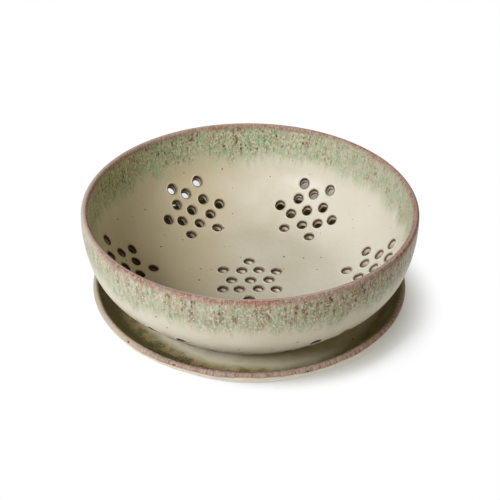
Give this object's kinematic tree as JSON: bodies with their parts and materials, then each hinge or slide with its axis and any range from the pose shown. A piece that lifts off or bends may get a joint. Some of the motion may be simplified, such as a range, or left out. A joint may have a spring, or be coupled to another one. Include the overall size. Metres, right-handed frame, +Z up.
{
  "type": "colander bowl",
  "caption": "Round glazed stoneware colander bowl with star-shaped groups of drain holes, standing loose in a matching drip saucer.",
  "frame": {"origin": "centre of the saucer's foot ring, on the table", "axes": "+Z up along the axis of the bowl and saucer; +X and -X each point at the middle of a group of drain holes in the wall; -Y faces the viewer"},
  "size_m": [0.1798, 0.1798, 0.0665],
  "materials": {
    "bowl_glaze": "satin-gloss speckled beige glaze with a brown lip and a mottled green band",
    "saucer_glaze": "satin-gloss beige glaze running to olive green in the well, with a brown lip"
  },
  "bodies": {
    "saucer": {"saucer": "saucer_glaze"},
    "bowl": {"colander_bowl": "bowl_glaze"}
  },
  "joints": [
    {"name": "bowl_lift", "type": "slide", "parent": "saucer", "child": "bowl", "axis": [0, 0, 1], "range_m": [0, 0.1]}
  ]
}
